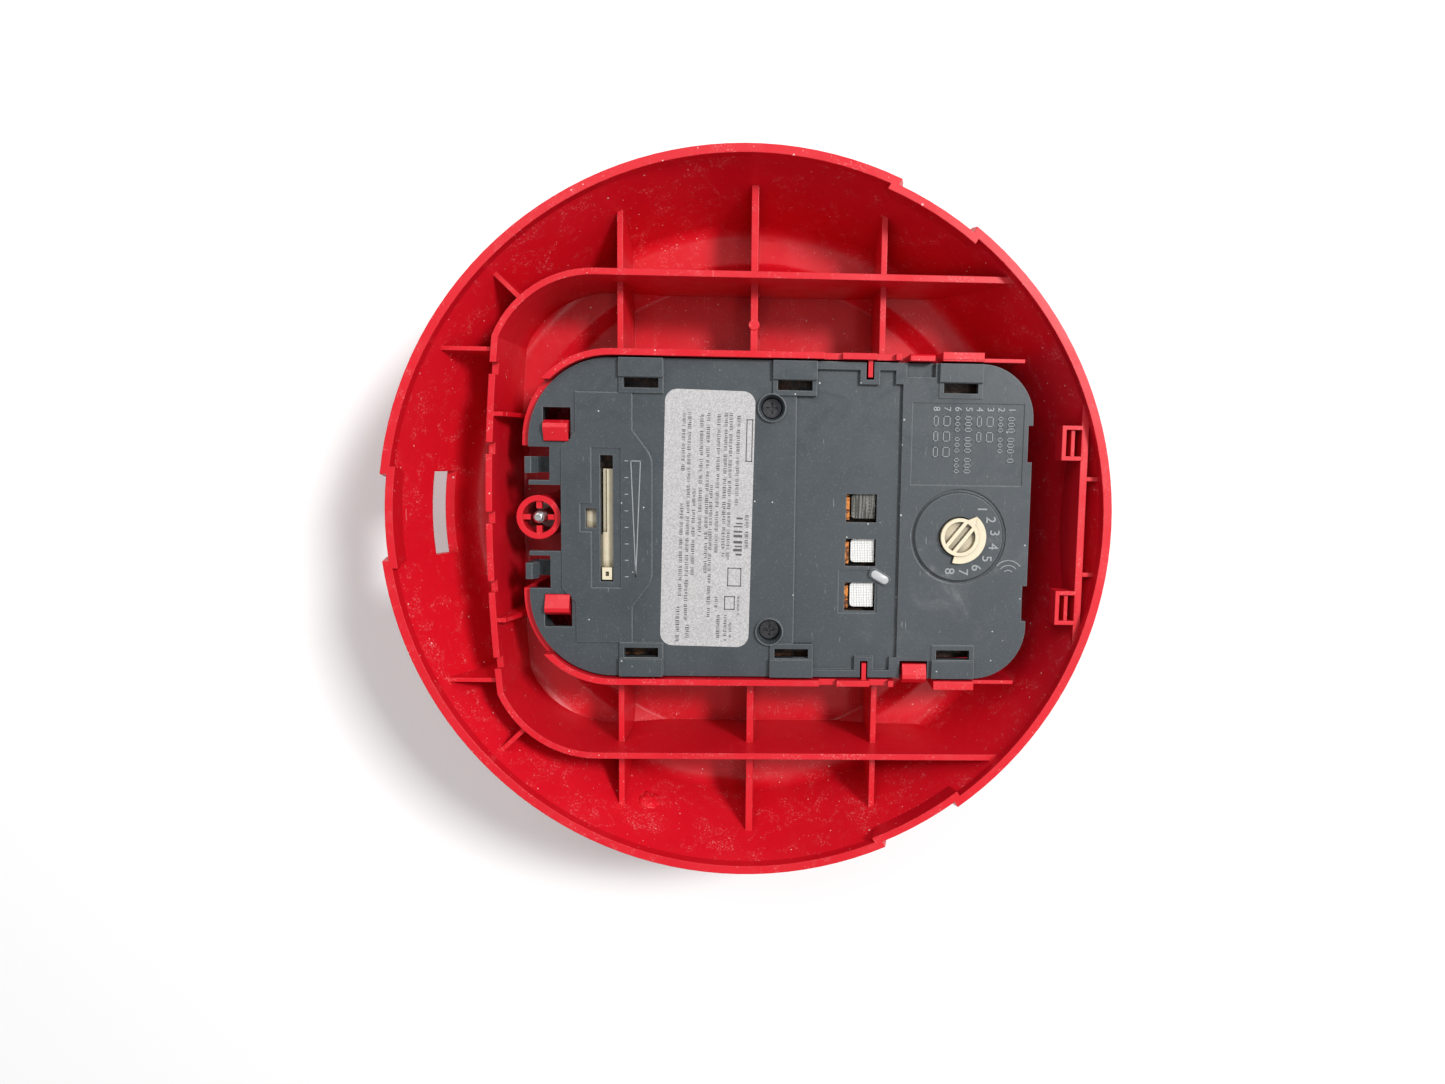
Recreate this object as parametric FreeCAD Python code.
"""Round ceiling fire alarm horn strobe: a red dome cover that carries a grey electronics module.

Frame: the origin is the centre of the rim plane, which lies against the ceiling. +Z points into
the ceiling, so the clear strobe lens hangs down along -Z. +X runs from the fixing screw to the
tone selector. All lengths are millimetres.
"""
import FreeCAD, Part
import math
import os

from FreeCAD import Vector

# --- driving dimensions -------------------------------------------------------------------
RIM_RADIUS = 86.36
WALL = 2.0
LENS_TIP_Z = -63.5
FLOOR_Z = -33.5            # inside face of the cover's front disc
FRONT_Z = -35.7            # outside face of the cover's front disc

# dome profile, from the rim down to the front disc
LIP_DEPTH = 2.9            # straight stretch below the rim
OUTER_SHOULDER = (75.3, -32.6)
INNER_SHOULDER = (73.9, -30.3)
OUTER_STEP = ((66.3, -33.1), (62.4, FRONT_Z))
INNER_STEP = ((65.3, -30.9), (61.5, FLOOR_Z))

# stiffening frames and ribs inside the cover
FRAME_TOP = -3.6
FRAME_HALF_WIDTH = 58.6
FRAME_LEFT = -62.65
FRAME_CORNER = 26.0
FRAME_WALL = 1.5
FRAME_BULGE_RADIUS = 450.0
INNER_FRAME_TOP = -4.5
LOW_WALL_TOP = -8.6           # where it follows the chassis round to the clips
INNER_FRAME_Y = 38.9       # inside face of the frame that hugs the chassis
RIB_TOP = -13.0
RIB_WALL = 1.4
RIB_X = (-32.2, 0.3, 31.8)
ROOT_Z = -34.6             # every wall starts inside the floor's thickness

# chassis plate levels
PLATE_Z = -6.6
PANEL_Z = -6.2             # raised selector panels
FIELD_Z = -7.4             # sunken middle field
PLATE_UNDER = -8.4
SKIRT_Z = -15.0
LEDGE_Z = -7.6             # step beside the plain stop
CHASSIS_HALF_WIDTH = 38.5
CHASSIS_LEFT = -53.2
CHASSIS_RIGHT = 68.2
SKIRT_WALL = 1.5
CLIP_Z = -14.0               # lowest level of the spring clips

# board and what it carries
BOARD_REAR = -12.0
BOARD_FRONT = -13.6
PAD_TOP = -8.7
BOARD_HALF_WIDTH = 34.4
BOARD_LEFT = -42.0
BOARD_RIGHT = 66.2
TUB_FLOOR_Z = -32.0
TUB_WALL = 1.5

# captive fixing screw
SCREW_X = -51.5
SCREW_RADIUS = 1.55
SCREW_TIP_Z = -8.2
SCREW_HEAD_TOP = -28.8
SCREW_HEAD_RADIUS = 3.4
SCREW_HEAD_HEIGHT = 2.5
SEAT_TOP = -22.5
SEAT_BOTTOM = -24.5
BOSS_TOP = -9.0
BOSS_RADIUS = 5.35
BOSS_BORE = 3.95

# selectors
KNOB_X, KNOB_Y = 50.9, -3.2
KNOB_REST_ANGLE = 51.7
KNOB_SWEEP = 156.0
KNOB_STEM_RADIUS = 2.0
DIAL_RADIUS = 11.1
DIAL_TOP = -5.75
WELL_TOP = -5.7             # mouth of the two chassis screw wells
SLOT_LEFT, SLOT_RIGHT = -36.2, -33.1
SLOT_HALF_LENGTH = 15.3
SLIDER_TRAVEL = 17.5
SLIDER_TOP = 12.0          # upper end of the bar when the slider is at its lowest step
MARKER_TOP = 2.8           # upper end of the marker strip there

HORN_X = 42.0
HORN_RADIUS = 17.0
PILLAR_X, PILLAR_Y = 4.9, 27.2
LENS_HALF_X, LENS_HALF_Y = 23.0, 17.0
TUBE_Z, TUBE_END = -43.5, 11.6
CAPACITOR_X, CAPACITOR_Z = -32.6, -22.4
INDUCTOR_X, INDUCTOR_Y = -32.5, -27.0
BLOCK_X = (-26.3, 10.4, 50.3)
BLOCK_HALF = 5.25
CONTACT_WINDOWS = ((23.3, 30.8, -0.1, 6.8), (23.3, 30.8, -10.9, -4.2), (23.3, 30.8, -22.0, -15.0))
SIDES = (1, -1)


# --- small builders -----------------------------------------------------------------------
def box(x0, x1, y0, y1, z0, z1):
    low = Vector(min(x0, x1), min(y0, y1), min(z0, z1))
    return Part.makeBox(abs(x1 - x0), abs(y1 - y0), abs(z1 - z0), low)


def rod(radius, z0, z1, x=0.0, y=0.0):
    return Part.makeCylinder(radius, abs(z1 - z0), Vector(x, y, min(z0, z1)))


def rod_along(radius, start, end):
    way = end - start
    return Part.makeCylinder(radius, way.Length, start, way)


def ring(outer, inner, z0, z1, x=0.0, y=0.0):
    return rod(outer, z0, z1, x, y).cut(rod(inner, min(z0, z1) - 1, max(z0, z1) + 1, x, y))


def join(shapes):
    first, rest = shapes[0], shapes[1:]
    if not rest:
        return first
    return first.fuse(rest)


def corner_arc(before, corner, after, radius):
    """Start, middle and end of the arc that rounds one corner of an outline."""
    to_before = (before - corner).normalize()
    to_after = (after - corner).normalize()
    half_angle = to_before.getAngle(to_after) / 2
    reach = radius / math.tan(half_angle)
    inward = (to_before + to_after).normalize()
    centre = corner + inward * (radius / math.sin(half_angle))
    return corner + to_before * reach, centre - inward * radius, corner + to_after * reach


def outline(points, upright=False):
    """A closed wire through (u, v) or (u, v, corner radius); upright puts v along Z."""
    places = []
    for point in points:
        places.append(Vector(point[0], 0, point[1]) if upright else Vector(point[0], point[1], 0))
    edges = []
    last = None
    first = None
    count = len(points)
    for index, point in enumerate(points):
        corner = places[index]
        if len(point) == 3:
            start, middle, end = corner_arc(places[index - 1], corner, places[(index + 1) % count], point[2])
            arc = Part.Arc(start, middle, end).toShape()
        else:
            start, end, arc = corner, corner, None
        if last is not None and last.distanceToPoint(start) > 1e-6:
            edges.append(Part.LineSegment(last, start).toShape())
        if arc is not None:
            edges.append(arc)
        if first is None:
            first = start
        last = end
    if last.distanceToPoint(first) > 1e-6:
        edges.append(Part.LineSegment(last, first).toShape())
    return Part.Wire(edges)


def plate(points, z0, z1):
    face = Part.Face(outline(points))
    face.translate(Vector(0, 0, min(z0, z1)))
    return face.extrude(Vector(0, 0, abs(z1 - z0)))


def turned(points):
    face = Part.Face(outline(points, upright=True))
    return face.revolve(Vector(0, 0, 0), Vector(0, 0, 1), 360)


def rounded(half_x, half_y, radius, x=0.0, y=0.0):
    return [(x - half_x, y - half_y, radius), (x + half_x, y - half_y, radius),
            (x + half_x, y + half_y, radius), (x - half_x, y + half_y, radius)]


def side_profile(points, x0, x1):
    """A solid whose (y, z) section runs from x0 to x1."""
    corners = [Vector(x0, y, z) for y, z in points]
    corners.append(corners[0])
    return Part.Face(Part.makePolygon(corners)).extrude(Vector(x1 - x0, 0, 0))


def front_profile(points, y0, y1):
    """A solid whose (x, z) section runs from y0 to y1."""
    corners = [Vector(x, y0, z) for x, z in points]
    corners.append(corners[0])
    return Part.Face(Part.makePolygon(corners)).extrude(Vector(0, y1 - y0, 0))


def loft(sections):
    """A solid through rounded rectangles given as (half x, half y, corner radius, z)."""
    wires = []
    for half_x, half_y, radius, z in sections:
        wire = outline(rounded(half_x, half_y, radius))
        wire.translate(Vector(0, 0, z))
        wires.append(wire)
    return Part.makeLoft(wires, True, True)


def turn(shape, degrees, x=0.0, y=0.0):
    shape.rotate(Vector(x, y, 0), Vector(0, 0, 1), degrees)
    return shape


def save(name, shape):
    shape = shape.removeSplitter()
    if not shape.isValid():
        print("not valid:", name)
    shape.exportStep("parts/" + name + ".step")
    print(name, len(shape.Solids), round(shape.Volume, 1))


# --- cover --------------------------------------------------------------------------------
def dome(radius, lip_radius, shoulder, shoulder_radius, step, floor_z, top):
    points = [(0, top), (radius, top), (lip_radius, -LIP_DEPTH), (shoulder[0], shoulder[1], shoulder_radius),
              (step[0][0], step[0][1], 1.5), (step[1][0], step[1][1], 1.5), (0, floor_z)]
    return turned(points)


def outer_dome():
    return dome(RIM_RADIUS, RIM_RADIUS, OUTER_SHOULDER, 6.5, OUTER_STEP, FRONT_Z, 0)


def inner_dome():
    return dome(RIM_RADIUS - WALL, RIM_RADIUS - WALL - 0.1, INNER_SHOULDER, 4.5, INNER_STEP, FLOOR_Z, 0.001)


def wall_middle():
    """A dome half way through the wall: ribs are trimmed to it so that they meet the wall."""
    shoulder = ((OUTER_SHOULDER[0] + INNER_SHOULDER[0]) / 2, (OUTER_SHOULDER[1] + INNER_SHOULDER[1]) / 2)
    step = ((65.8, -32.0), (61.9, ROOT_Z))
    radius = RIM_RADIUS - WALL / 2
    return dome(radius, radius, shoulder, 5.5, step, ROOT_Z, 0)


def outer_frame():
    def region(shrink, reach):
        half = FRAME_HALF_WIDTH - shrink
        left = FRAME_LEFT + shrink
        corner = FRAME_CORNER - shrink
        sheet = plate([(left, -half, corner), (reach, -half), (reach, half), (left, half, corner)],
                      ROOT_Z, FRAME_TOP)
        bulge = rod(FRAME_BULGE_RADIUS - shrink, ROOT_Z, FRAME_TOP, FRAME_LEFT + FRAME_BULGE_RADIUS, 0)
        return sheet.common(bulge)
    wall = region(0, 100).cut(region(FRAME_WALL, 101))
    for y in (35.2, 16.5, 0.1, -16.5, -35.1):
        wall = wall.cut(box(FRAME_LEFT - 2, FRAME_LEFT + 4, y - 1.4, y + 1.4, FRAME_TOP - 2.5, 0))
    return wall


def inner_frame():
    """The two walls that hug the chassis, with their lowered stretches on the selector side."""
    half = INNER_FRAME_Y + FRAME_WALL
    outside = plate([(CHASSIS_LEFT - 1.9, -half, 21.9), (65.6, -half), (65.6, half),
                     (CHASSIS_LEFT - 1.9, half, 21.9)], ROOT_Z, INNER_FRAME_TOP)
    inside = plate([(CHASSIS_LEFT - 0.4, -INNER_FRAME_Y, 20.4), (70, -INNER_FRAME_Y), (70, INNER_FRAME_Y),
                    (CHASSIS_LEFT - 0.4, INNER_FRAME_Y, 20.4)], ROOT_Z - 1, INNER_FRAME_TOP + 1)
    wall = outside.cut(inside).cut(box(-60, 80, -33.0, 33.0, LOW_WALL_TOP, 0))
    wall = wall.cut(box(-60, 80, -17.3, 17.3, ROOT_Z - 1, 0))
    low = INNER_FRAME_TOP - 1.6
    for side in SIDES:
        for start, end, floor in ((17.3, 21.6, low), (29.7, 34.3, low), (35.6, 45.5, -12.0),
                                  (55.4, 66.0, low)):
            wall = wall.cut(box(start, end, side * 38.0, side * 41.0, floor, 0))
        wall = wall.cut(box(55.4, 66.0, side * (INNER_FRAME_Y + 0.9), side * 41.0, ROOT_Z + 3, 0))
        wall = wall.fuse(box(45.5, 55.4, side * 39.3, side * 41.0, -14.0, INNER_FRAME_TOP + 0.1))
    return wall


def frame_pins():
    """Thin keys on the inner frame that enter the two edge slots of the chassis."""
    return [box(27.8, 28.9, side * 34.8, side * 39.4, -26.0, -5.6) for side in SIDES]


def cross_ribs():
    ribs = []
    for x in RIB_X:
        width = RIB_WALL + 0.3 if x == RIB_X[1] else RIB_WALL
        for side in SIDES:
            ribs.append(box(x - width / 2, x + width / 2, side * 39.8, side * 88.0, ROOT_Z, RIB_TOP))
    ribs.append(rod(1.3, ROOT_Z, RIB_TOP + 0.2, RIB_X[1], 47.5))
    return ribs


def corner_ribs():
    ribs = []
    for side in SIDES:
        ribs.append(box(-90, FRAME_LEFT + 1.0, side * 39.3, side * 40.3, ROOT_Z, -6.0))
        diagonal = box(74.5, 90, -0.55, 0.55, ROOT_Z, -6.0)
        ribs.append(turn(diagonal, 180 - side * 43.5))
        gusset = front_profile([(FRAME_LEFT + 1.0, FRAME_TOP - 0.2), (-58.4, FRAME_TOP - 0.2),
                                (-53.6, -24.0), (-53.6, ROOT_Z), (FRAME_LEFT + 1.0, ROOT_Z)],
                               side * 24.1, side * 25.1)
        ribs.append(gusset)
    return ribs


def chord_pocket():
    """The straight wall at the selector side, its two crossbars and its two latch loops."""
    pieces = [box(79.0, 80.7, -34, 34, -22.0, -2.6)]
    for y in (11.4, -11.8):
        pieces.append(box(80.0, 87.0, y - 0.5, y + 0.5, -22.0, -2.9))
    for side in SIDES:
        y0, y1 = side * 15.8, side * 24.1
        loop = box(74.3, 79.3, y0, y1, -8.0, -2.4)
        loop = loop.cut(box(75.3, 79.0, side * 16.8, side * 23.1, -9.0, 0))
        pieces.append(loop)
        pieces.append(box(76.7, 77.6, y0, y1, -7.4, -3.2))
    return pieces


def rim_notches(shell):
    """Three places where the wall steps inward, to clear what it snaps over."""
    for angle in (180.0, 60.0, -60.0):
        wide = side_profile([(-10.4, 1.0), (10.4, 1.0), (8.6, -7.0), (-8.6, -7.0)], 60, 100)
        band = side_profile([(-11.9, 0), (11.9, 0), (10.2, -8.6), (-10.2, -8.6)], 60, 100)
        turn(wide, angle)
        turn(band, angle)
        step_radius = RIM_RADIUS - 1.5
        inner_band = ring(step_radius, step_radius - 1.8, -8.6, 0).common(band)
        shell = shell.fuse(inner_band)
        shell = shell.cut(wide.cut(rod(step_radius, -10, 5)))
    return shell


def screw_boss():
    boss = rod(BOSS_RADIUS, ROOT_Z, BOSS_TOP, SCREW_X)
    boss = boss.cut(rod(BOSS_BORE, SEAT_TOP, 0, SCREW_X))
    boss = boss.cut(rod(BOSS_BORE, -40, SEAT_BOTTOM, SCREW_X))
    boss = boss.cut(rod(SCREW_RADIUS + 0.4, -40, 0, SCREW_X))
    return boss


def boss_spokes():
    spokes = []
    for quarter in range(4):
        spoke = box(SCREW_X + 2.1, SCREW_X + BOSS_BORE + 0.4, -0.65, 0.65, BOSS_TOP - 1.8, BOSS_TOP - 0.5)
        spokes.append(turn(spoke, 90 * quarter, SCREW_X))
    return spokes


def cover_latches():
    """Three snap arms that hook over the chassis, and a plain stop that faces the third of them."""
    arms = []
    for side in SIDES:
        hook = [(23.5, ROOT_Z), (23.5, -6.6), (22.7, -4.9), (21.7, -4.7), (19.3, -5.7), (18.4, -6.05),
                (20.3, -6.05), (21.4, -7.6), (21.4, ROOT_Z)]
        arms.append(side_profile([(side * y, z) for y, z in hook], -49.4, -43.5))
    hook = [(-39.4, ROOT_Z), (-39.4, -5.4), (-38.2, -3.9), (-37.2, -3.9), (-34.7, -5.0), (-34.7, -5.95),
            (-36.9, -5.95), (-37.8, -7.6), (-37.8, ROOT_Z)]
    arms.append(side_profile(hook, 37.7, 43.6))
    stop = [(38.8, ROOT_Z), (38.8, -4.2), (40.0, -4.2), (40.4, -4.8), (40.4, ROOT_Z)]
    arms.append(side_profile(stop, 37.7, 43.6))
    return arms


def front_openings(cover):
    """The lens window with its raised bezel, the horn slots and the access hole for the screw."""
    bezel = plate(rounded(LENS_HALF_X + 4.5, LENS_HALF_Y + 4.5, 10.0), FRONT_Z - 2.6, FRONT_Z + 0.5)
    lip = loft([(LENS_HALF_X + 4.5, LENS_HALF_Y + 4.5, 10.0, FRONT_Z - 2.6),
                (LENS_HALF_X + 3.2, LENS_HALF_Y + 3.2, 8.7, FRONT_Z - 3.9)])
    cover = cover.fuse([bezel, lip])
    cover = cover.cut(plate(rounded(LENS_HALF_X + 0.3, LENS_HALF_Y + 0.3, 6.3), -45, -30))
    for row in range(5):
        offset = (row - 2) * 4.6
        half = math.sqrt(13.5 ** 2 - offset ** 2)
        slot = plate(rounded(1.1, half, 1.05, HORN_X + offset, 0), -40, -30)
        cover = cover.cut(slot)
    return cover.cut(rod(BOSS_BORE, -40, SEAT_BOTTOM, SCREW_X))


def cover_shell():
    shell = outer_dome().cut(inner_dome())
    inside = [outer_frame(), inner_frame(), screw_boss()]
    inside += cross_ribs() + corner_ribs() + chord_pocket()
    inside += cover_latches() + frame_pins() + boss_spokes()
    structure = join(inside).common(wall_middle())
    structure = structure.cut(rod(SCREW_RADIUS + 0.4, -40, 0, SCREW_X))
    cover = shell.fuse(structure)
    cover = rim_notches(cover)
    cover = cover.cut(box(-90, -70, -10.3, 10.5, -23.5, -16.0))
    return front_openings(cover)


# --- chassis ------------------------------------------------------------------------------
def chassis_outline(shrink=0.0):
    """Outline of the rear chassis; the left side is cut back round the screw boss."""
    half = CHASSIS_HALF_WIDTH - shrink
    left = CHASSIS_LEFT + shrink
    right = CHASSIS_RIGHT - shrink
    return [(left, -half, 20.0 - shrink), (right, -half, 13.0 - shrink),
            (right, half, 13.0 - shrink), (left, half, 20.0 - shrink)]


def chassis_left_cut():
    """Clearance at the left edge: one deep bay for the boss and two shallow bays for the clips."""
    cuts = [box(-60, -45.6, -8.0, 8.0, -20, 0)]
    for side in SIDES:
        cuts.append(box(-60, -48.2, side * 9.1, side * 17.1, -20, 0))
    return join(cuts)


def chassis_plate():
    body = plate(chassis_outline(), PLATE_UNDER, PLATE_Z)
    skirt = plate(chassis_outline(), SKIRT_Z, PLATE_UNDER + 0.2)
    skirt = skirt.cut(plate(chassis_outline(SKIRT_WALL), SKIRT_Z - 1, PLATE_UNDER))
    skirt = skirt.cut(box(-60, -40, -18.6, 18.6, SKIRT_Z - 1, PLATE_UNDER))
    body = body.fuse(skirt).cut(chassis_left_cut())
    for side in SIDES:
        body = body.cut(box(67.1, 70, side * 15.2, side * 24.0, SKIRT_Z - 1, 0))
    return body


def raised_panels():
    candela = [(-45.4, -15.0), (-45.4, -17.2, 1.0), (-42.0, -20.6), (-42.0, -30.2), (-28.5, -30.2),
               (-28.5, -21.4), (-23.7, -15.0, 6.0), (-23.7, 15.0, 6.0), (-28.5, 21.4), (-28.5, 30.2),
               (-42.0, 30.2), (-42.0, 20.6), (-45.4, 17.2, 1.0), (-45.4, 15.0)]
    audio = plate([(36.4, -CHASSIS_HALF_WIDTH), (CHASSIS_RIGHT, -CHASSIS_HALF_WIDTH, 13.0),
                   (CHASSIS_RIGHT, CHASSIS_HALF_WIDTH, 13.0), (36.4, CHASSIS_HALF_WIDTH)],
                  PLATE_Z - 0.2, PANEL_Z)
    for side in SIDES:
        audio = audio.cut(box(67.1, 70, side * 15.2, side * 24.0, SKIRT_Z - 1, 0))
    return [plate(candela, PLATE_Z - 0.2, PANEL_Z), audio]


def latch_blocks():
    """Six raised pockets along the long edges, each with a framed window."""
    blocks = []
    for x in BLOCK_X:
        for side in SIDES:
            blocks.append(box(x - BLOCK_HALF, x + BLOCK_HALF, side * 34.0, side * 38.4, PLATE_Z - 0.5, -5.1))
            blocks.append(box(x - BLOCK_HALF, x + BLOCK_HALF, side * 30.2, side * 34.2, PLATE_Z - 0.5, -5.9))
    return blocks


def latch_windows():
    return [box(x - 4.15, x + 4.15, side * 31.4, side * 33.8, -20, 0) for x in BLOCK_X for side in SIDES]


def edge_rims():
    """The raised rim of the sunken middle field, which turns in round each key slot."""
    rims = []
    for side in SIDES:
        rims.append(box(15.6, 36.6, side * 36.6, side * 38.4, FIELD_Z - 0.3, PANEL_Z))
        rims.append(box(26.0, 30.7, side * 33.2, side * 37.0, FIELD_Z - 0.3, PANEL_Z))
        rims.append(box(34.6, 36.6, side * 33.4, side * 37.0, FIELD_Z - 0.3, PANEL_Z))
    return rims


def edge_slots():
    slots = []
    for side in SIDES:
        slots.append(box(27.4, 29.3, side * 34.3, side * 40, -20, 0))
    slots.append(box(37.2, 44.1, -40, -34.2, -20, 0))
    slots.append(box(37.2, 44.1, 35.1, 40, LEDGE_Z, 0))
    return slots


def dial_disc():
    """The raised dial with its bevelled shoulder, and the shallow moat round it."""
    foot = Vector(KNOB_X, KNOB_Y, PANEL_Z)
    shoulder = Part.makeCone(DIAL_RADIUS, DIAL_RADIUS - 0.5, DIAL_TOP - PANEL_Z, foot)
    disc = rod(DIAL_RADIUS, PANEL_Z - 0.4, PANEL_Z, KNOB_X, KNOB_Y).fuse(shoulder)
    moat = ring(DIAL_RADIUS + 0.6, DIAL_RADIUS, PANEL_Z - 0.4, PANEL_Z + 1, KNOB_X, KNOB_Y)
    return disc, moat


def screw_wells():
    wells = []
    for side in SIDES:
        y = side * PILLAR_Y
        wells.append(rod(3.4, -11.7, WELL_TOP, PILLAR_X, y))
    return wells


def spring_clips():
    """Two sprung U-shaped clips in the left bays; their hooks stand up past the plate."""
    clips = []
    for side in SIDES:
        y0, y1 = side * 10.8, side * 14.7
        clips.append(box(-48.6, -47.4, y0, y1, CLIP_Z, PLATE_UNDER + 0.2))
        clips.append(box(-53.8, -47.4, y0, y1, CLIP_Z, CLIP_Z + 1.2))
        hook = front_profile([(-53.8, CLIP_Z), (-53.8, -5.3), (-52.3, -5.3), (-51.2, -7.6),
                              (-52.5, -8.6), (-52.5, CLIP_Z)], y0, y1)
        clips.append(hook)
        clips.append(box(-52.4, -45.2, side * 8.0, side * 9.1, PLATE_UNDER, PLATE_Z))
    return clips


def slider_guides():
    """Two rails under the plate that keep the candela slider straight."""
    return [box(-41.6, -40.3, -22.0, MARKER_TOP + SLIDER_TRAVEL + 0.5, -10.4, PLATE_UNDER + 0.2),
            box(-32.7, -31.4, -18.0, SLIDER_TOP + SLIDER_TRAVEL + 0.5, -10.4, PLATE_UNDER + 0.2)]


def rear_chassis():
    body = chassis_plate()
    body = body.cut(box(10.8, 36.4, -36.6, 36.6, FIELD_Z, 0))
    disc, moat = dial_disc()
    body = body.fuse(raised_panels() + latch_blocks() + edge_rims() + screw_wells() + spring_clips())
    body = body.fuse(slider_guides()).cut(moat).fuse(disc)
    cuts = latch_windows() + edge_slots()
    cuts.append(rod(4.95, -20, 0, KNOB_X, KNOB_Y))
    for x0, x1, y0, y1 in CONTACT_WINDOWS:
        cuts.append(box(x0, x1, y0, y1, -20, 0))
    low_window = CONTACT_WINDOWS[2]
    cuts.append(box(low_window[0] - 1.5, low_window[1] + 0.6, low_window[2] - 0.6, low_window[3] + 3.2,
                    FIELD_Z - 0.3, 0))
    for side in SIDES:
        cuts.append(rod(2.6, -10.5, 0, PILLAR_X, side * PILLAR_Y))
        cuts.append(Part.makeCone(2.6, 3.15, 1.6, Vector(PILLAR_X, side * PILLAR_Y, WELL_TOP - 1.6)))
        cuts.append(rod(1.35, -20, 0, PILLAR_X, side * PILLAR_Y))
        cuts.append(box(-49.7, -43.1, side * 18.9, side * 26.5, -20, 0))
    cuts.append(box(-38.3, -31.2, -16.8, 17.1, PANEL_Z - 0.35, 0))
    cuts.append(box(-41.0, -38.0, -3.2, 3.7, PANEL_Z - 0.35, 0))
    cuts.append(box(SLOT_LEFT, SLOT_RIGHT, -SLOT_HALF_LENGTH, SLOT_HALF_LENGTH, -9.0, 0))
    cuts.append(box(-39.7, -37.1, -2.2, 2.5, -9.0, 0))
    cuts.append(box(38.8, 66.0, 9.3, 29.1, PANEL_Z - 0.25, 0))
    body = body.cut(join(cuts))
    oval = plate(rounded(2.9, 1.3, 1.25), FIELD_Z - 0.3, -6.9)
    turn(oval, -30.0)
    oval.translate(Vector(31.9, -13.5, 0))
    return body.fuse(oval)


def rating_label():
    label = plate(rounded(10.8, 31.1, 3.0), PLATE_Z, PLATE_Z + 0.15)
    turn(label, -1.1)
    label.translate(Vector(-10.4, 0.1, 0))
    return label


# --- selectors ----------------------------------------------------------------------------
def sector(radius, start, end, z0, z1):
    """A pie slice about Z between two angles in degrees."""
    def rim_point(angle):
        return Vector(radius * math.cos(math.radians(angle)), radius * math.sin(math.radians(angle)), z0)
    centre = Vector(0, 0, z0)
    first, middle, last = rim_point(start), rim_point((start + end) / 2), rim_point(end)
    edges = [Part.LineSegment(centre, first).toShape(), Part.Arc(first, middle, last).toShape(),
             Part.LineSegment(last, centre).toShape()]
    return Part.Face(Part.Wire(edges)).extrude(Vector(0, 0, z1 - z0))


def audio_select_knob():
    """Screwdriver knob: a capped drum, a pointer nib, a stop skirt and two grip bars."""
    skirt_z = DIAL_TOP + 0.3
    top = -4.3
    knob = rod(4.65, -8.9, top)
    skirt = sector(6.5, -KNOB_SWEEP, 0, skirt_z, skirt_z + 0.7)
    nib = plate([(3.0, -1.9), (6.5, 0), (3.0, 1.9)], skirt_z, top)
    knob = knob.fuse([skirt, nib])
    recess = rod(3.75, top - 1.2, top + 1)
    for offset in (-1.15, 1.15):
        recess = recess.cut(box(-5, 5, offset - 0.45, offset + 0.45, top - 2, top + 2))
    knob = knob.cut(recess)
    stem = rod(KNOB_STEM_RADIUS, -11.6, -8.8)
    knob = knob.fuse(stem)
    turn(knob, KNOB_REST_ANGLE)
    knob.translate(Vector(KNOB_X, KNOB_Y, 0))
    return knob


def rotary_switch_body():
    body = plate(rounded(6.5, 6.5, 0.8, KNOB_X, KNOB_Y), BOARD_REAR, -9.3)
    return body.cut(rod(KNOB_STEM_RADIUS + 0.06, BOARD_REAR + 0.3, -8, KNOB_X, KNOB_Y))


def candela_slider():
    """Ivory bar seen through the slot, with a finger grip at one end and a marker strip beside it."""
    bar = box(-35.9, -33.4, -15.0, SLIDER_TOP, -10.1, -8.7)
    bar = bar.cut(box(-36.5, -34.9, -3.4, 13.0, -9.3, -8.0))
    strip = box(-39.9, -36.9, -19.6, MARKER_TOP, -10.1, -8.7)
    bridge = box(-37.2, -35.6, -19.6, -4.0, -10.1, -9.0)
    grip = box(-35.85, -33.45, -14.9, -11.9, -9.0, -6.9)
    grip = grip.cut(box(-35.0, -34.2, -14.0, -12.9, -8.0, -6))
    tang = box(-35.2, -34.2, -13.8, -12.8, -11.4, -10.0)
    return bar.fuse([strip, bridge, grip, tang])


def candela_switch_body():
    body = box(-37.0, -32.4, -15.8, 7.8, BOARD_REAR, -10.5)
    return body.cut(box(-35.6, -33.8, -14.4, 6.2, BOARD_REAR + 0.3, -10))


# --- fixing screw -------------------------------------------------------------------------
def mounting_screw():
    shank = rod(SCREW_RADIUS, SCREW_HEAD_TOP - 0.5, SCREW_TIP_Z - 0.8, SCREW_X)
    point = Part.makeCone(SCREW_RADIUS, SCREW_RADIUS - 0.75, 0.8, Vector(SCREW_X, 0, SCREW_TIP_Z - 0.8))
    head = rod(SCREW_HEAD_RADIUS, SCREW_HEAD_TOP - SCREW_HEAD_HEIGHT + 0.7, SCREW_HEAD_TOP, SCREW_X)
    crown = Part.makeCone(SCREW_HEAD_RADIUS - 0.7, SCREW_HEAD_RADIUS, 0.7,
                          Vector(SCREW_X, 0, SCREW_HEAD_TOP - SCREW_HEAD_HEIGHT))
    screw = shank.fuse([point, head, crown])
    low = SCREW_HEAD_TOP - SCREW_HEAD_HEIGHT
    for half_x, half_y in ((1.9, 0.4), (0.4, 1.9)):
        screw = screw.cut(box(SCREW_X - half_x, SCREW_X + half_x, -half_y, half_y, low - 1, low + 1.3))
    return screw


def screw_retainer():
    return ring(3.3, SCREW_RADIUS + 0.05, SEAT_TOP + 0.3, SEAT_TOP + 1.3, SCREW_X)


# --- housing, lens and strobe -------------------------------------------------------------
def tub_region(shrink, z0, z1):
    block = plate(rounded(51.5 - shrink, 34.0 - shrink, 8.0 - shrink, 9.2, 0), z0, z1)
    return block.common(rod(60.7 - shrink, z0, z1))


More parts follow.
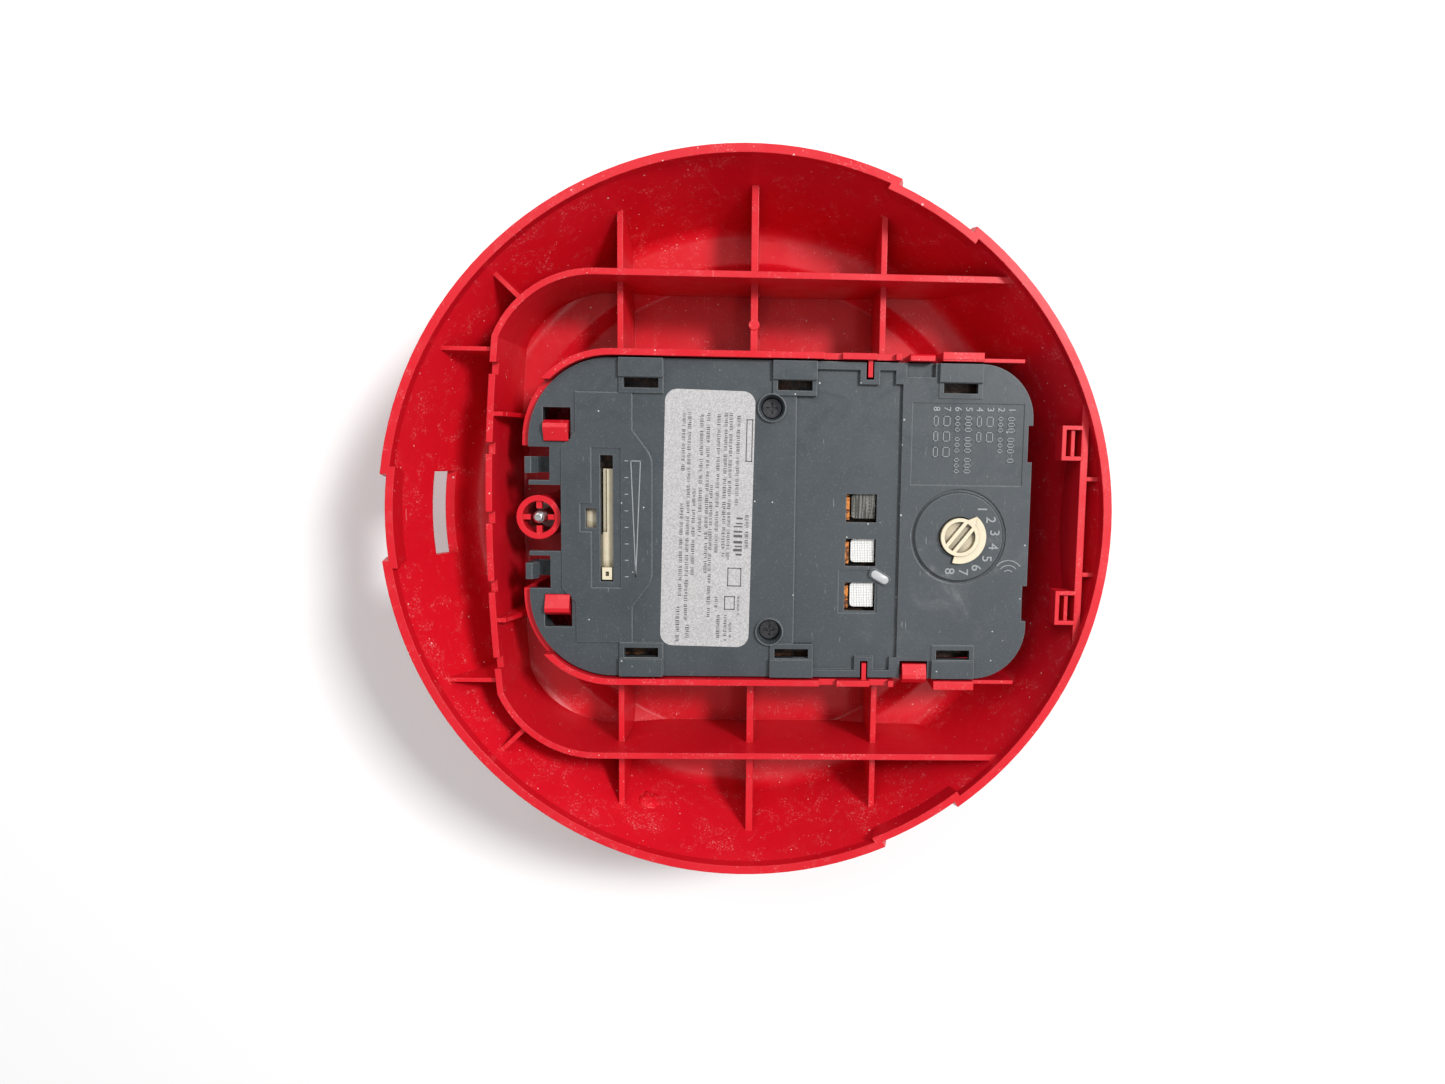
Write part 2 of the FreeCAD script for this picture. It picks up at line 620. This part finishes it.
def front_housing():
    tub = tub_region(0, TUB_FLOOR_Z, BOARD_FRONT - 0.2)
    tub = tub.cut(tub_region(TUB_WALL, TUB_FLOOR_Z + TUB_WALL, BOARD_FRONT + 1))
    posts = [rod(2.6, TUB_FLOOR_Z + 0.2, BOARD_FRONT - 0.1, PILLAR_X, side * PILLAR_Y) for side in SIDES]
    tub = tub.fuse(posts)
    tub = tub.cut(plate(rounded(20.4, 14.4, 3.0), -40, -29))
    tub = tub.cut(rod(12.0, -40, -29, HORN_X))
    for side in SIDES:
        tub = tub.cut(rod(1.2, -24, -10, PILLAR_X, side * PILLAR_Y))
    return tub


def strobe_lens():
    """Clear hollow window: a flange inside the cover and a crowned body that hangs below it."""
    def sections(rows):
        return loft([(LENS_HALF_X - inset, LENS_HALF_Y - inset, radius, z) for inset, radius, z in rows])
    outside = sections([(0, 6.0, -32.4), (1.4, 6.0, -56.5), (2.3, 5.6, -59.8), (4.2, 4.6, -62.2),
                        (7.2, 3.6, LENS_TIP_Z)])
    hollow = sections([(1.8, 4.4, -31.0), (3.2, 4.4, -56.4), (4.6, 4.0, -59.6), (7.4, 3.0, -61.7)])
    flange = plate(rounded(27.0, 21.0, 7.0), FLOOR_Z + 0.05, FLOOR_Z + 1.3)
    return outside.fuse(flange).cut(hollow)


def reflector():
    """Bright box with a dished face; its flange sits on the housing floor."""
    body = plate(rounded(19.4, 13.4, 2.4), -48.0, -29.5)
    flange = plate(rounded(23.0, 17.0, 3.0), TUB_FLOOR_Z + TUB_WALL + 0.05, -29.5)
    dish = loft([(11.0, 5.0, 2.0, -40.0), (14.5, 8.6, 2.2, -44.0), (18.6, 12.6, 2.4, -48.2)])
    hollow = plate(rounded(18.4, 12.4, 1.6), -38.8, -29)
    body = body.fuse(flange).cut(dish).cut(hollow)
    for side in SIDES:
        body = body.cut(rod(0.8, -45, -30, side * (TUBE_END + 1.0)))
    return body.cut(rod(0.6, -45, -30, 0, 2.2))


def flash_tube():
    return rod_along(1.9, Vector(-TUBE_END, 0, TUBE_Z), Vector(TUBE_END, 0, TUBE_Z))


def tube_electrodes():
    pieces = []
    for side in SIDES:
        cap = rod_along(1.3, Vector(side * TUBE_END, 0, TUBE_Z), Vector(side * (TUBE_END + 1.4), 0, TUBE_Z))
        lead = rod(0.4, TUBE_Z, BOARD_FRONT, side * (TUBE_END + 1.0))
        pieces.append(cap.fuse(lead))
    return Part.makeCompound(pieces)


def trigger_wire():
    """Fine wire wrapped round the flash tube, with its lead up to the board."""
    turns = [rod(0.25, TUBE_Z, BOARD_FRONT, 0, 2.2)]
    turns.append(rod_along(0.2, Vector(-8.2, 2.12, TUBE_Z), Vector(8.2, 2.12, TUBE_Z)))
    for step in range(5):
        x = -8.0 + 4.0 * step
        turns.append(Part.makeTorus(2.15, 0.2, Vector(x, 0, TUBE_Z), Vector(1, 0, 0)))
    return join(turns)


# --- horn ---------------------------------------------------------------------------------
def horn_housing():
    cup = ring(HORN_RADIUS, HORN_RADIUS - 1.4, -30.4, -20.0, HORN_X)
    ledge = ring(HORN_RADIUS - 1.0, 13.5, -26.4, -25.0, HORN_X)
    throat = ring(HORN_RADIUS - 1.0, 11.0, -30.4, -29.0, HORN_X)
    return cup.fuse([ledge, throat])


def horn_cap():
    cap = rod(HORN_RADIUS, -19.9, -18.5, HORN_X)
    skirt = ring(HORN_RADIUS - 1.5, HORN_RADIUS - 2.7, -23.5, -19.8, HORN_X)
    cap = cap.fuse(skirt)
    return cap.cut(rod(1.6, -22, -15, HORN_X, 6.0))


def piezo_disc():
    return rod(15.3, -24.95, -24.65, HORN_X)


def piezo_ceramic():
    return rod(10.0, -24.65, -24.35, HORN_X)


def piezo_leads():
    leads = []
    for x, low in ((HORN_X, -24.35), (HORN_X + 0.9, -24.35)):
        leads.append(rod(0.35, low, BOARD_FRONT, x - 0.45, 6.0))
    return Part.makeCompound(leads)


# --- board and components -----------------------------------------------------------------
def circuit_board():
    board = plate([(BOARD_LEFT, -BOARD_HALF_WIDTH, 4.0), (BOARD_RIGHT, -BOARD_HALF_WIDTH, 9.0),
                   (BOARD_RIGHT, BOARD_HALF_WIDTH, 9.0), (BOARD_LEFT, BOARD_HALF_WIDTH, 4.0)],
                  BOARD_FRONT, BOARD_REAR)
    for side in SIDES:
        board = board.cut(rod(1.6, -20, 0, PILLAR_X, side * PILLAR_Y))
        board = board.cut(box(27.2, 29.5, side * 33.9, side * 36, -20, 0))
    return board


def contact_pads():
    """Knurled landing blocks that fill most of the three windows."""
    pads = []
    for x0, x1, y0, y1 in CONTACT_WINDOWS:
        left, right, low, high = x0 + 1.4, x1 - 0.3, y0 + 0.9, y1 - 0.1
        pad = plate([(left, low, 1.0), (right, low), (right, high), (left, high, 1.0)], BOARD_REAR, PAD_TOP)
        for row in range(1, 7):
            across = left + row * 0.83
            pad = pad.cut(box(across - 0.1, across + 0.1, low - 1, high + 1, PAD_TOP - 0.12, 0))
            along = low + row * 0.86
            pad = pad.cut(box(left - 1, right + 1, along - 0.1, along + 0.1, PAD_TOP - 0.12, 0))
        pads.append(pad)
    return pads


def contact_strips():
    """Copper leaf at the left of each pad, bent up from the board."""
    top = PAD_TOP - 0.5
    strips = []
    for x0, x1, y0, y1 in CONTACT_WINDOWS:
        foot = box(x0 - 0.6, x0 + 1.0, y0 + 0.5, y1 - 0.4, BOARD_REAR, BOARD_REAR + 0.3)
        leaf = box(x0 - 0.6, x0 - 0.2, y0 + 0.5, y1 - 0.4, BOARD_REAR, top)
        curl = box(x0 - 0.6, x0 + 1.0, y0 + 0.5, y1 - 0.9, top - 0.3, top)
        strips.append(foot.fuse([leaf, curl]))
    return Part.makeCompound(strips)


def chassis_screws():
    screws = []
    for side in SIDES:
        y = side * PILLAR_Y
        shank = rod(1.15, -22.0, -10.3, PILLAR_X, y)
        head = rod(2.3, -10.45, -9.1, PILLAR_X, y)
        screw = shank.fuse(head)
        for half_x, half_y in ((1.4, 0.3), (0.3, 1.4)):
            screw = screw.cut(box(PILLAR_X - half_x, PILLAR_X + half_x, y - half_y, y + half_y, -9.8, 0))
        screws.append(screw)
    return Part.makeCompound(screws)


def flash_capacitor():
    can = rod_along(7.4, Vector(CAPACITOR_X, -6.0, CAPACITOR_Z), Vector(CAPACITOR_X, 20.0, CAPACITOR_Z))
    groove = Part.makeTorus(7.7, 0.6, Vector(CAPACITOR_X, -3.6, CAPACITOR_Z), Vector(0, 1, 0))
    return can.cut(groove)


def capacitor_leads():
    leads = []
    for x in (CAPACITOR_X - 2.4, CAPACITOR_X + 2.4):
        out = rod_along(0.4, Vector(x, -6.0, CAPACITOR_Z), Vector(x, -9.4, CAPACITOR_Z))
        up = rod(0.4, CAPACITOR_Z, BOARD_FRONT, x, -9.0)
        leads.append(out.fuse(up))
    return Part.makeCompound(leads)


def trigger_coil():
    return rod(3.6, -23.0, BOARD_FRONT, -34.0, -17.5).cut(rod(0.9, -24, -21.5, -34.0, -17.5))


def inductor_core():
    top = rod(5.4, -15.0, BOARD_FRONT, INDUCTOR_X, INDUCTOR_Y)
    waist = rod(2.6, -21.8, -14.5, INDUCTOR_X, INDUCTOR_Y)
    base = rod(5.4, -22.8, -21.4, INDUCTOR_X, INDUCTOR_Y)
    return top.fuse([waist, base])


def inductor_winding():
    return ring(4.7, 2.62, -21.35, -15.05, INDUCTOR_X, INDUCTOR_Y)


def film_capacitor():
    body = box(-13.0, 0.0, 21.0, 26.5, -23.0, BOARD_FRONT)
    edges = [edge for edge in body.Edges if edge.BoundBox.ZMax < -22.9]
    return body.makeFillet(0.8, edges)


def control_chip():
    body = box(-14.0, -4.0, -29.0, -22.5, BOARD_FRONT - 2.0, BOARD_FRONT - 0.4)
    pins = []
    for index in range(7):
        x = -13.2 + index * 1.4
        for y0, y1 in ((-30.4, -28.6), (-22.9, -21.1)):
            pins.append(box(x - 0.25, x + 0.25, y0, y1, BOARD_FRONT - 0.7, BOARD_FRONT))
    return body, Part.makeCompound([pin.cut(body) for pin in pins])


def power_transistors():
    group = []
    for x in (14.0, 24.0):
        tab = box(x - 3.2, x + 3.2, -32.0, -24.4, BOARD_FRONT - 1.0, BOARD_FRONT)
        body = box(x - 3.2, x + 3.2, -30.0, -24.4, BOARD_FRONT - 2.4, BOARD_FRONT - 0.9)
        group.append(tab.fuse(body))
    return Part.makeCompound(group)


def small_components():
    """Surface resistors and diodes on the lens side of the board."""
    group = []
    for y in (22, 27):
        for column in range(4):
            x = 14 + 4 * column
            half_y = 1.6 if column % 2 else 1.2
            group.append(box(x - 0.8, x + 0.8, y - half_y, y + half_y, BOARD_FRONT - 0.7, BOARD_FRONT))
    return Part.makeCompound(group)


def main():
    os.makedirs("parts", exist_ok=True)
    save("cover_shell", cover_shell())
    save("rear_chassis", rear_chassis())
    save("rating_label", rating_label())
    save("audio_select_knob", audio_select_knob())
    save("rotary_switch_body", rotary_switch_body())
    save("candela_slider", candela_slider())
    save("candela_switch_body", candela_switch_body())
    save("mounting_screw", mounting_screw())
    save("screw_retainer", screw_retainer())
    save("front_housing", front_housing())
    save("strobe_lens", strobe_lens())
    save("reflector", reflector())
    save("flash_tube", flash_tube())
    save("tube_electrodes", tube_electrodes())
    save("trigger_wire", trigger_wire())
    save("horn_housing", horn_housing())
    save("horn_cap", horn_cap())
    save("piezo_disc", piezo_disc())
    save("piezo_ceramic", piezo_ceramic())
    save("piezo_leads", piezo_leads())
    save("circuit_board", circuit_board())
    for number, pad in enumerate(contact_pads(), start=1):
        save("contact_pad_%d" % number, pad)
    save("contact_strips", contact_strips())
    save("chassis_screws", chassis_screws())
    save("flash_capacitor", flash_capacitor())
    save("capacitor_leads", capacitor_leads())
    save("trigger_coil", trigger_coil())
    save("inductor_core", inductor_core())
    save("inductor_winding", inductor_winding())
    save("film_capacitor", film_capacitor())
    chip, pins = control_chip()
    save("control_chip", chip)
    save("chip_pins", pins)
    save("power_transistors", power_transistors())
    save("small_components", small_components())


main()
